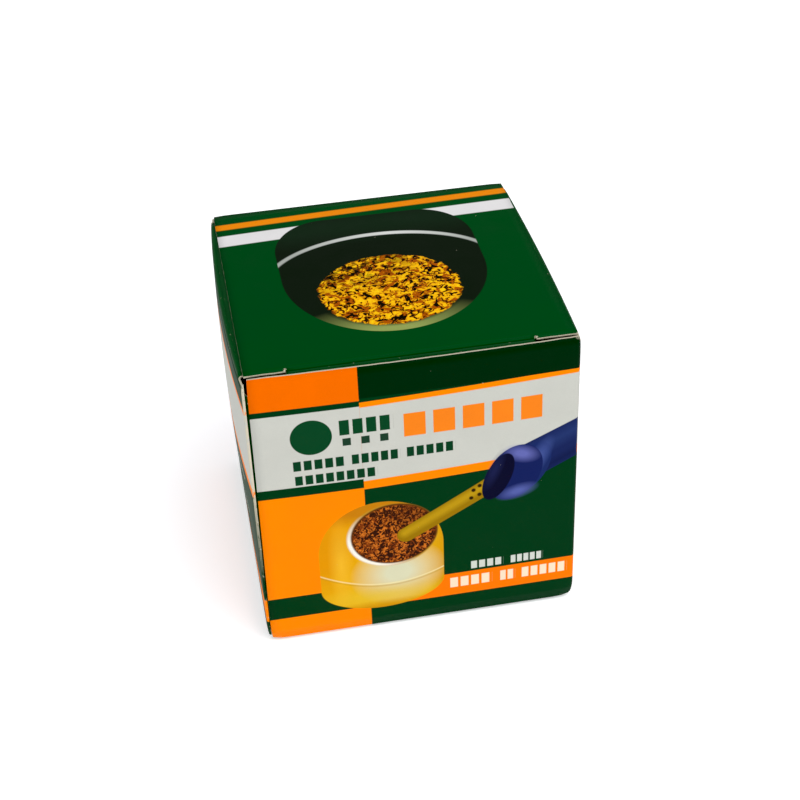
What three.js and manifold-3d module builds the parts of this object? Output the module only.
// A printed tuck-end carton that holds a tip cleaner for soldering irons.
// The carton is one creased blank of folding boxboard: four walls, a glue flap and a tuck closure
// at each end. Inside stands the cleaner: a round base, a domed cover with a slanted mouth, a trim
// ring between them, rubber feet and a nest of wire wool.
// Millimetres, +Z up. The origin is the middle of the carton's underside, and the front wall faces -Y.

import * as THREE from "three";
import { mergeVertices } from "three/addons/utils/BufferGeometryUtils.js";
import Module from "manifold-3d";

const wasm = await Module();
wasm.setup();

// ---- Driving dimensions -------------------------------------------------------------------------

const RADIANS = Math.PI / 180;
const ROUND_STEPS = 48; // sides of a round piece
const CORNER_STEPS = 5; // chords in a rounded corner

// Board and fits
const board = 0.5; // thickness of the boxboard
const foldGap = 0.3; // slack between two plies, and at a crease
const seat = 0.1; // slack between two moulded parts that rest on each other

// Cleaner base
const cleanerRadius = 37.5;
const footHeight = 1.5;
const footRadius = 4.5;
const footInset = 10; // from the base's rim to a foot's middle
const footCount = 4;
const baseHeight = 17; // from the underside of the base to its shoulder
const baseWall = 2.2;
const baseFloor = 2.5;
const baseCornerRadius = 5;
const spigotHeight = 6;
const spigotWall = 1.6;
const spigotClearance = 0.3; // between the spigot and the cover

// Trim ring and cover
const ringHeight = 1.3;
const ringProud = 0.1; // how far the ring stands out from the moulded parts
const coverSkirt = 10; // straight wall of the cover below its dome
const coverWall = 2.2;
const mouthRadius = 25;
const mouthRim = 2.5; // flat left round the mouth
const mouthTilt = 30 * RADIANS; // how far the mouth leans forward

// Wire wool
const woolClearance = 0.9; // round the wool, inside the base and cover
const woolRecess = 5; // from the mouth's flat down to the wool

// Carton
const sideClearance = 3; // between the cleaner and each side wall
const tuckClearance = 0.79; // between the cleaner and a tuck flap
const headroom = 14.3; // above the cleaner
const lidInset = 0.8; // a lid is narrower than the carton by this at each end
const tuckLength = 11; // from the lid's face to the edge of its tuck flap
const tuckCornerRadius = 7;
const tuckInset = 1.2; // a tuck flap is narrower than its lid by this at each end
const tuckSpring = 0.25; // a tuck flap straightens by this share of the angle that its lid opens
const slitLength = 10; // lock slit at each end of the tuck crease
const lockClearance = 0.6; // from the lid's cut edge, along a slit, to the wall in front of it
const dustMiddleGap = 10; // between the free ends of the two dust flaps
const dustTaper = 25 * RADIANS; // slope of the edge next to the lid's crease
const dustEdgeClearance = 2; // from a dust flap to the wall that carries the lid
const dustTuckClearance = 0.6; // from a dust flap to the tuck flap
const dustShoulder = 12; // length of the shoulder that the lock slit catches
const dustStep = 3; // how far the edge steps back past the shoulder
const dustCornerRadius = 4;
const glueFlapWidth = 12;
const glueFlapInset = 3; // from the end of the side wall to the flap's nearest corner
const glueFlapTaper = 15 * RADIANS; // slope of its lower end
const glueFlapNotch = 60 * RADIANS; // slope of its upper end, down past the corner of the tuck flap
const glueTuckClearance = 0.5; // from the tuck flap's edge to the flap below it

// ---- Sizes that follow ----------------------------------------------------------------------------

const doubleFold = 2 * board + foldGap; // lid over dust flap
const domeCentre = footHeight + seat + baseHeight + ringHeight + 2 * seat + coverSkirt;
const mouthPlane = Math.sqrt(cleanerRadius ** 2 - (mouthRadius + mouthRim) ** 2); // from the dome's centre
const mouthHalfAngle = Math.asin((mouthRadius + mouthRim) / cleanerRadius);
const crownAngle = Math.max(0, mouthHalfAngle - mouthTilt); // from upright to the highest point left
const cleanerHeight = domeCentre + cleanerRadius * Math.cos(crownAngle);

// The tip of a tuck flap swings outwards as its lid starts to open, and this gap lets it past the wall.
const tuckGap = ((0.5 + tuckSpring) * tuckLength ** 2) / (2 * cleanerRadius);

const width = 2 * (cleanerRadius + sideClearance + board);
const depth = 2 * (cleanerRadius + tuckClearance + board + tuckGap + board);
const cleanerFloor = doubleFold + foldGap; // the cleaner stands on the lower dust flaps
const height = cleanerFloor + cleanerHeight + headroom + doubleFold;

// ---- Materials --------------------------------------------------------------------------------------

function finish(color, roughness, metalness = 0) {
  return new THREE.MeshStandardMaterial({ color, roughness, metalness });
}

const finishes = {
  greenBoard: finish(0x06471b, 0.42),
  bareBoard: finish(0xb9b2a2, 0.9),
  yellowPlastic: finish(0xe9b008, 0.35),
  silverTrim: finish(0xd0d2d0, 0.3, 0.8),
  blackRubber: finish(0x161616, 0.85),
  brassWool: finish(0xb8791e, 0.4, 0.9),
};

// ---- Solids -----------------------------------------------------------------------------------------

// A closed geometry as a solid that can be joined and cut.
function solidOf(geometry) {
  const bare = geometry.clone();
  bare.deleteAttribute("normal");
  bare.deleteAttribute("uv");
  const merged = mergeVertices(bare, 1e-4);
  return new wasm.Manifold(
    new wasm.Mesh({
      numProp: 3,
      vertProperties: merged.getAttribute("position").array,
      triVerts: new Uint32Array(merged.getIndex().array),
    }),
  );
}

function geometryOf(solid) {
  const mesh = solid.getMesh();
  const geometry = new THREE.BufferGeometry();
  geometry.setAttribute("position", new THREE.BufferAttribute(mesh.vertProperties, 3));
  geometry.setIndex(new THREE.BufferAttribute(mesh.triVerts, 1));
  geometry.computeVertexNormals();
  return geometry;
}

// A profile of [radius, height] points, from the axis or closed on itself, turned about +Z.
function turned(profile) {
  const points = profile.map(([radius, z]) => new THREE.Vector2(radius, z));
  return new THREE.LatheGeometry(points, ROUND_STEPS).rotateX(Math.PI / 2);
}

// Points of a round corner in a [radius, height] profile. Angles are from the radius axis, in radians.
function arc(centreRadius, centreHeight, radius, from, to, steps = CORNER_STEPS) {
  return Array.from({ length: steps + 1 }, (_, i) => {
    const angle = from + ((to - from) * i) / steps;
    return [centreRadius + radius * Math.cos(angle), centreHeight + radius * Math.sin(angle)];
  });
}

// A flat plate between two corners.
function slab(low, high) {
  const size = high.map((value, i) => value - low[i]);
  const middle = high.map((value, i) => (value + low[i]) / 2);
  return new THREE.BoxGeometry(...size).translate(...middle);
}

// A board cut to a shape, lying from z = 0 up to its thickness.
function cutBoard(shape) {
  return new THREE.ExtrudeGeometry(shape, {
    depth: board,
    bevelEnabled: false,
    curveSegments: CORNER_STEPS,
  });
}

function piece(name, geometry, material) {
  const mesh = new THREE.Mesh(geometry, material);
  mesh.name = name;
  return mesh;
}

// ---- Carton walls -----------------------------------------------------------------------------------

const right = width / 2;
const rear = depth / 2;
const sideLow = doubleFold + foldGap; // side walls end under the creases of their dust flaps
const sideHigh = height - sideLow;

function frontPanel() {
  const leftEdge = -right + board + foldGap; // the cut edge at the glued seam
  const low = [leftEdge, -rear, board + foldGap];
  const high = [right, -rear + board, height - foldGap];
  return piece("front_panel", slab(low, high), finishes.greenBoard);
}

function rearPanel() {
  const low = [-right, rear - board, foldGap];
  const high = [right, rear, height - board - foldGap];
  return piece("rear_panel", slab(low, high), finishes.greenBoard);
}

function rightPanel() {
  const low = [right - board, -rear + board + foldGap, sideLow];
  const high = [right, rear - board - foldGap, sideHigh];
  return piece("right_panel", slab(low, high), finishes.greenBoard);
}

function leftPanel() {
  const low = [-right, -rear, sideLow];
  const high = [-right + board, rear - board - foldGap, sideHigh];
  return piece("left_panel", slab(low, high), finishes.greenBoard);
}

// The flap turns in from the left wall and is glued behind the front wall. Its upper end is notched,
// so that the tuck flap can swing past it.
function glueFlap() {
  const crease = -right + board + foldGap;
  const free = crease + glueFlapWidth;
  const low = sideLow + glueFlapInset;
  const high = sideHigh - glueFlapInset;
  const shoulderHeight = height - tuckLength - glueTuckClearance;
  const shoulderReach = (high - shoulderHeight) / Math.tan(glueFlapNotch);
  const shape = new THREE.Shape([
    new THREE.Vector2(crease, low),
    new THREE.Vector2(free, low + glueFlapWidth * Math.tan(glueFlapTaper)),
    new THREE.Vector2(free, shoulderHeight),
    new THREE.Vector2(crease + shoulderReach, shoulderHeight),
    new THREE.Vector2(crease, high),
  ]);
  const behindFront = -rear + board + foldGap;
  const flap = cutBoard(shape)
    .rotateX(Math.PI / 2)
    .translate(0, behindFront + board, 0);
  return piece("glue_flap", flap, finishes.bareBoard);
}

// ---- Tuck closure -------------------------------------------------------------------------------------
// Both ends of the carton have the same closure. It is drawn for the top, hinged on the rear wall,
// and turned half round the X axis for the bottom, where it hinges on the front wall.

const lidHalf = right - lidInset;
const tuckFace = -rear + board + tuckGap; // outer face of the tuck flap, and the lid's front crease
const lockEdge = -rear + board + lockClearance; // the lid's cut edge along a slit

function lid(name) {
  const shape = new THREE.Shape([
    new THREE.Vector2(lidHalf, rear),
    new THREE.Vector2(-lidHalf, rear),
    new THREE.Vector2(-lidHalf, lockEdge),
    new THREE.Vector2(-lidHalf + slitLength, lockEdge),
    new THREE.Vector2(-lidHalf + slitLength, tuckFace),
    new THREE.Vector2(lidHalf - slitLength, tuckFace),
    new THREE.Vector2(lidHalf - slitLength, lockEdge),
    new THREE.Vector2(lidHalf, lockEdge),
  ]);
  const plate = cutBoard(shape).translate(0, 0, height - board);
  return piece(name, plate, finishes.greenBoard);
}

function tuckFlap(name) {
  const half = lidHalf - tuckInset;
  const top = height - board - foldGap;
  const low = height - tuckLength;
  const radius = Math.min(tuckCornerRadius, top - low);
  const shape = new THREE.Shape();
  shape.moveTo(half, top);
  shape.lineTo(-half, top);
  shape.lineTo(-half, low + radius);
  shape.absarc(-half + radius, low + radius, radius, Math.PI, 1.5 * Math.PI, false);
  shape.lineTo(half - radius, low);
  shape.absarc(half - radius, low + radius, radius, 1.5 * Math.PI, 2 * Math.PI, false);
  const flap = cutBoard(shape)
    .rotateX(Math.PI / 2)
    .translate(0, tuckFace + board, 0);
  return piece(name, flap, finishes.greenBoard);
}

// side is -1 for the left flap and 1 for the right one.
function dustFlap(name, side) {
  const reach = right - dustMiddleGap / 2;
  const front = tuckFace + board + dustTuckClearance;
  const stepped = front + dustStep;
  const back = rear - board - dustEdgeClearance;
  const backAtTip = back - reach * Math.tan(dustTaper);
  const r = dustCornerRadius;
  const along = (distance) => side * (right - distance); // from the crease towards the middle
  const shape = new THREE.Shape();
  shape.moveTo(along(0), front);
  shape.lineTo(along(dustShoulder), front);
  shape.lineTo(along(dustShoulder + dustStep), stepped);
  shape.lineTo(along(reach - r), stepped);
  shape.quadraticCurveTo(along(reach), stepped, along(reach), stepped + r);
  shape.lineTo(along(reach), backAtTip - r);
  shape.quadraticCurveTo(along(reach), backAtTip, along(reach - r), backAtTip + r * Math.tan(dustTaper));
  shape.lineTo(along(0), back);
  const flap = cutBoard(shape).translate(0, 0, height - doubleFold);
  return piece(name, flap, finishes.bareBoard);
}

function closure(end) {
  const group = new THREE.Group();
  group.add(
    lid(`${end}_lid`),
    tuckFlap(`${end}_tuck_flap`),
    dustFlap(`${end}_left_dust_flap`, -1),
    dustFlap(`${end}_right_dust_flap`, 1),
  );
  return group;
}

// ---- Cleaner ------------------------------------------------------------------------------------------
// Heights below are from the underside of the feet.

const baseBottom = footHeight + seat;
const shoulder = baseBottom + baseHeight;
const spigotRadius = cleanerRadius - coverWall - spigotClearance;
const spigotInner = spigotRadius - spigotWall;
const ringBottom = shoulder + seat;
const coverBottom = ringBottom + ringHeight + seat;
const cupInner = Math.min(spigotInner, cleanerRadius - baseWall);
const cupFloor = baseBottom + baseFloor;
const cupCorner = Math.max(baseCornerRadius - baseWall, 0.5);

function cleanerBase() {
  const profile = [
    [0, baseBottom],
    ...arc(
      cleanerRadius - baseCornerRadius,
      baseBottom + baseCornerRadius,
      baseCornerRadius,
      -Math.PI / 2,
      0,
    ),
    [cleanerRadius, shoulder],
    [spigotRadius, shoulder],
    [spigotRadius, shoulder + spigotHeight],
    [cupInner, shoulder + spigotHeight],
    ...arc(cupInner - cupCorner, cupFloor + cupCorner, cupCorner, 0, -Math.PI / 2),
    [0, cupFloor],
  ];
  return piece("cleaner_base", turned(profile), finishes.yellowPlastic);
}

function trimRing() {
  const inner = spigotRadius + spigotClearance;
  const outer = cleanerRadius + ringProud;
  const top = ringBottom + ringHeight;
  const profile = [
    [inner, ringBottom],
    [outer, ringBottom],
    [outer, top],
    [inner, top],
    [inner, ringBottom],
  ];
  return piece("trim_ring", turned(profile), finishes.silverTrim);
}

// A skirt of this edge under half a ball, solid, cut flat by a leaning plane at this distance from the
// dome's centre.
function cutDome(radius, edge, plane) {
  const profile = [
    ...edge,
    ...arc(0, domeCentre, radius, 0, Math.PI / 2, ROUND_STEPS / 4).slice(0, -1),
    [0, domeCentre + radius],
  ];
  const beyond = 4 * cleanerRadius; // larger than anything that it cuts away
  const knife = leaned(new THREE.BoxGeometry(beyond, beyond, beyond).translate(0, 0, plane + beyond / 2));
  return solidOf(turned(profile)).subtract(solidOf(knife));
}

function squareEdge(radius, bottom) {
  return [
    [0, bottom],
    [radius, bottom],
  ];
}

// Turns a geometry from upright at the origin to the mouth's axis through the dome's centre.
function leaned(geometry) {
  return geometry.rotateX(mouthTilt).translate(0, 0, domeCentre);
}

function cleanerCover() {
  const inner = cleanerRadius - coverWall;
  const outside = cutDome(cleanerRadius, squareEdge(cleanerRadius, coverBottom), mouthPlane);
  const inside = cutDome(inner, squareEdge(inner, coverBottom - coverWall), mouthPlane - coverWall);
  const bore = new THREE.CylinderGeometry(mouthRadius, mouthRadius, 2 * cleanerRadius, ROUND_STEPS)
    .rotateX(Math.PI / 2)
    .translate(0, 0, cleanerRadius);
  const shell = outside.subtract(inside).subtract(solidOf(leaned(bore)));
  return piece("cleaner_cover", geometryOf(shell), finishes.yellowPlastic);
}

function wireWool() {
  const radius = cupInner - woolClearance;
  const bottom = cupFloor + woolClearance;
  const edge = [
    [0, bottom],
    ...arc(radius - cupCorner, bottom + cupCorner, cupCorner, -Math.PI / 2, 0),
  ];
  const nest = cutDome(radius, edge, mouthPlane - woolRecess);
  return piece("wire_wool", geometryOf(nest), finishes.brassWool);
}

function rubberFoot(index) {
  const angle = ((index + 0.5) * 2 * Math.PI) / footCount;
  const ring = cleanerRadius - footInset;
  const profile = [
    [0, 0],
    [footRadius, 0],
    [footRadius, footHeight],
    [0, footHeight],
  ];
  const foot = piece(`rubber_foot_${index + 1}`, turned(profile), finishes.blackRubber);
  foot.position.set(ring * Math.cos(angle), ring * Math.sin(angle), 0);
  return foot;
}

function cleaner() {
  const group = new THREE.Group();
  group.add(cleanerBase(), trimRing(), cleanerCover(), wireWool());
  for (let index = 0; index < footCount; index += 1) group.add(rubberFoot(index));
  group.position.z = cleanerFloor;
  return group;
}

// ---- Assembly -----------------------------------------------------------------------------------------

const carton = new THREE.Group();
carton.add(frontPanel(), rearPanel(), rightPanel(), leftPanel(), glueFlap());

const topClosure = closure("top");

const bottomClosure = closure("bottom");
bottomClosure.rotation.x = Math.PI;
bottomClosure.position.z = height;

const boxedCleaner = new THREE.Group();
boxedCleaner.add(carton, topClosure, bottomClosure, cleaner());

export default boxedCleaner;
